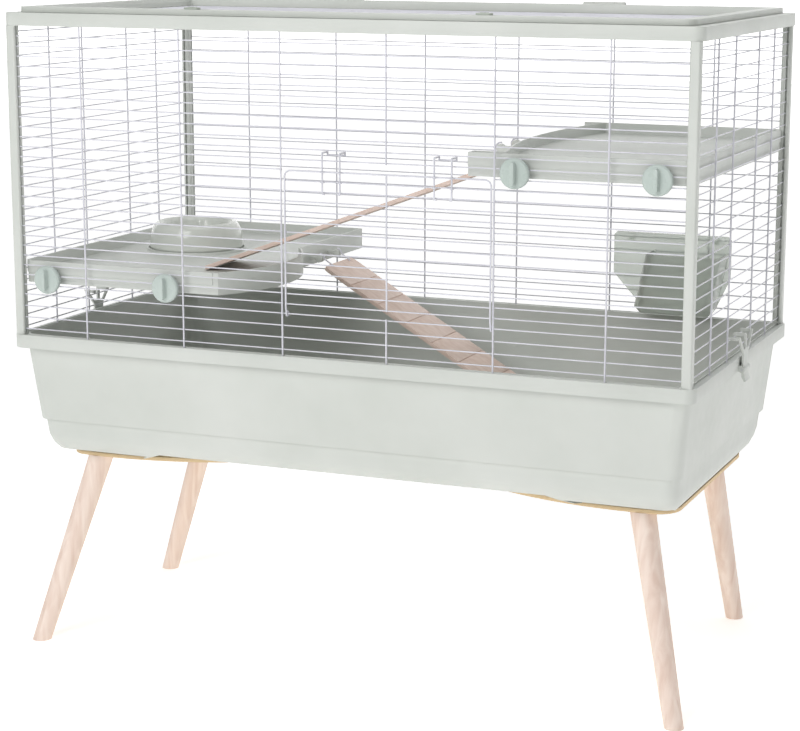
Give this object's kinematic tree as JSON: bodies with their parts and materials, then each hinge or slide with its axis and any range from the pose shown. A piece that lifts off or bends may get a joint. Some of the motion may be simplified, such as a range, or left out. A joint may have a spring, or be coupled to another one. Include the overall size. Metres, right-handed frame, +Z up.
{
  "type": "ferret cage",
  "caption": "Wire pet cage with a hinged wire roof, drop-down door, shelves joined by ramps, bowl and hay rack, on a moulded tray with splayed wooden legs.",
  "frame": {"origin": "On the floor, under the middle of the cage's footprint.", "axes": "+X along the cage's length to the right as seen from the door side, -Y the front with the door, +Z up."},
  "size_m": [1.022, 0.5419, 0.9236],
  "materials": {
    "shell_plastic": "fine satin grey-green moulding",
    "dark_plastic": "satin grey-green moulding",
    "wire": "white epoxy coat",
    "steel": "zinc plated",
    "leg_wood": "pale turned wood",
    "plywood": "raw plywood",
    "ramp_wood": "raw grooved board",
    "knob_plastic": "pale mint moulding",
    "bowl_plastic": "smooth grey-green moulding",
    "smoky_plastic": "translucent grey-green moulding"
  },
  "bodies": {
    "cage": {"tray": "shell_plastic", "leg_plate_left": "plywood", "leg_plate_right": "plywood", "leg_front_left": "leg_wood", "leg_front_right": "leg_wood", "leg_back_left": "leg_wood", "leg_back_right": "leg_wood", "leg_bolts": "steel", "tee_nuts": "steel", "plate_screws": "steel", "post_front_left": "shell_plastic", "post_front_right": "shell_plastic", "post_back_left": "shell_plastic", "post_back_right": "shell_plastic", "front_grille_low": "wire", "front_grille_left": "wire", "front_grille_right": "wire", "front_grille_top": "wire", "back_grille": "wire", "left_grille": "wire", "right_grille": "wire", "top_frame": "shell_plastic", "lid_hinge_pins": "steel", "shelf_left": "shell_plastic", "shelf_right": "shell_plastic", "clip_pins": "steel"},
    "lid": {"lid_frame": "shell_plastic", "lid_grille": "wire"},
    "lid_latch_left": {"lid_latch_left": "dark_plastic"},
    "lid_latch_right": {"lid_latch_right": "dark_plastic"},
    "door": {"door": "wire", "door_curls": "wire"},
    "door_latch_left": {"door_latch_left": "wire"},
    "door_latch_right": {"door_latch_right": "wire"},
    "knob_lower_left": {"knob_lower_left": "knob_plastic"},
    "knob_lower_right": {"knob_lower_right": "knob_plastic"},
    "knob_upper_left": {"knob_upper_left": "knob_plastic"},
    "knob_upper_right": {"knob_upper_right": "knob_plastic"},
    "ramp_lower": {"ramp_lower": "ramp_wood", "ramp_lower_hooks": "wire"},
    "ramp_upper": {"ramp_upper": "ramp_wood", "ramp_upper_hooks": "wire"},
    "food_bowl": {"food_bowl": "bowl_plastic"},
    "hay_rack": {"hay_rack": "smoky_plastic"},
    "clip_left": {"clip_left": "shell_plastic"},
    "clip_right": {"clip_right": "shell_plastic"}
  },
  "joints": [
    {"name": "lid_hinge", "type": "hinge", "parent": "cage", "child": "lid", "pos_m": [0, 0.2535, 0.918], "axis": [-1, 0, 0], "range_deg": [0, 100]},
    {"name": "lid_latch_left_slide", "type": "slide", "parent": "lid", "child": "lid_latch_left", "axis": [1, 0, 0], "range_m": [0, 0.01]},
    {"name": "lid_latch_right_slide", "type": "slide", "parent": "lid", "child": "lid_latch_right", "axis": [1, 0, 0], "range_m": [0, 0.01]},
    {"name": "door_hinge", "type": "hinge", "parent": "cage", "child": "door", "pos_m": [0.0775, -0.2558, 0.5171], "axis": [1, 0, 0], "range_deg": [0, 135]},
    {"name": "door_latch_left_slide", "type": "slide", "parent": "door", "child": "door_latch_left", "axis": [0, 0, 1], "range_m": [-0.0083, 0]},
    {"name": "door_latch_right_slide", "type": "slide", "parent": "door", "child": "door_latch_right", "axis": [0, 0, 1], "range_m": [-0.0083, 0]},
    {"name": "knob_lower_left_turn", "type": "hinge", "parent": "cage", "child": "knob_lower_left", "pos_m": [-0.4409, -0.2594, 0.5406], "axis": [0, -1, 0], "range_deg": [0, 2160]},
    {"name": "knob_lower_right_turn", "type": "hinge", "parent": "cage", "child": "knob_lower_right", "pos_m": [-0.2529, -0.2594, 0.5406], "axis": [0, -1, 0], "range_deg": [0, 2160]},
    {"name": "knob_upper_left_turn", "type": "hinge", "parent": "cage", "child": "knob_upper_left", "pos_m": [0.2565, -0.2594, 0.7219], "axis": [0, -1, 0], "range_deg": [0, 2160]},
    {"name": "knob_upper_right_turn", "type": "hinge", "parent": "cage", "child": "knob_upper_right", "pos_m": [0.4458, -0.2594, 0.7219], "axis": [0, -1, 0], "range_deg": [0, 2160]},
    {"name": "ramp_lower_pivot", "type": "hinge", "parent": "cage", "child": "ramp_lower", "pos_m": [-0.165, 0.088, 0.543], "axis": [0, -1, 0], "range_deg": [0, 30]},
    {"name": "ramp_upper_pivot", "type": "hinge", "parent": "cage", "child": "ramp_upper", "pos_m": [0.186, -0.088, 0.739], "axis": [0, 1, 0], "range_deg": [0, 25]},
    {"name": "food_bowl_lift", "type": "slide", "parent": "cage", "child": "food_bowl", "axis": [0, 0, 1], "range_m": [0, 0.1]},
    {"name": "hay_rack_lift", "type": "slide", "parent": "cage", "child": "hay_rack", "axis": [0, 0, 1], "range_m": [0, 0.014]},
    {"name": "clip_left_pivot", "type": "hinge", "parent": "cage", "child": "clip_left", "pos_m": [-0.5055, -0.016, 0.442], "axis": [0, -1, 0], "range_deg": [0, 40]},
    {"name": "clip_right_pivot", "type": "hinge", "parent": "cage", "child": "clip_right", "pos_m": [0.5055, -0.016, 0.442], "axis": [0, 1, 0], "range_deg": [0, 40]}
  ]
}
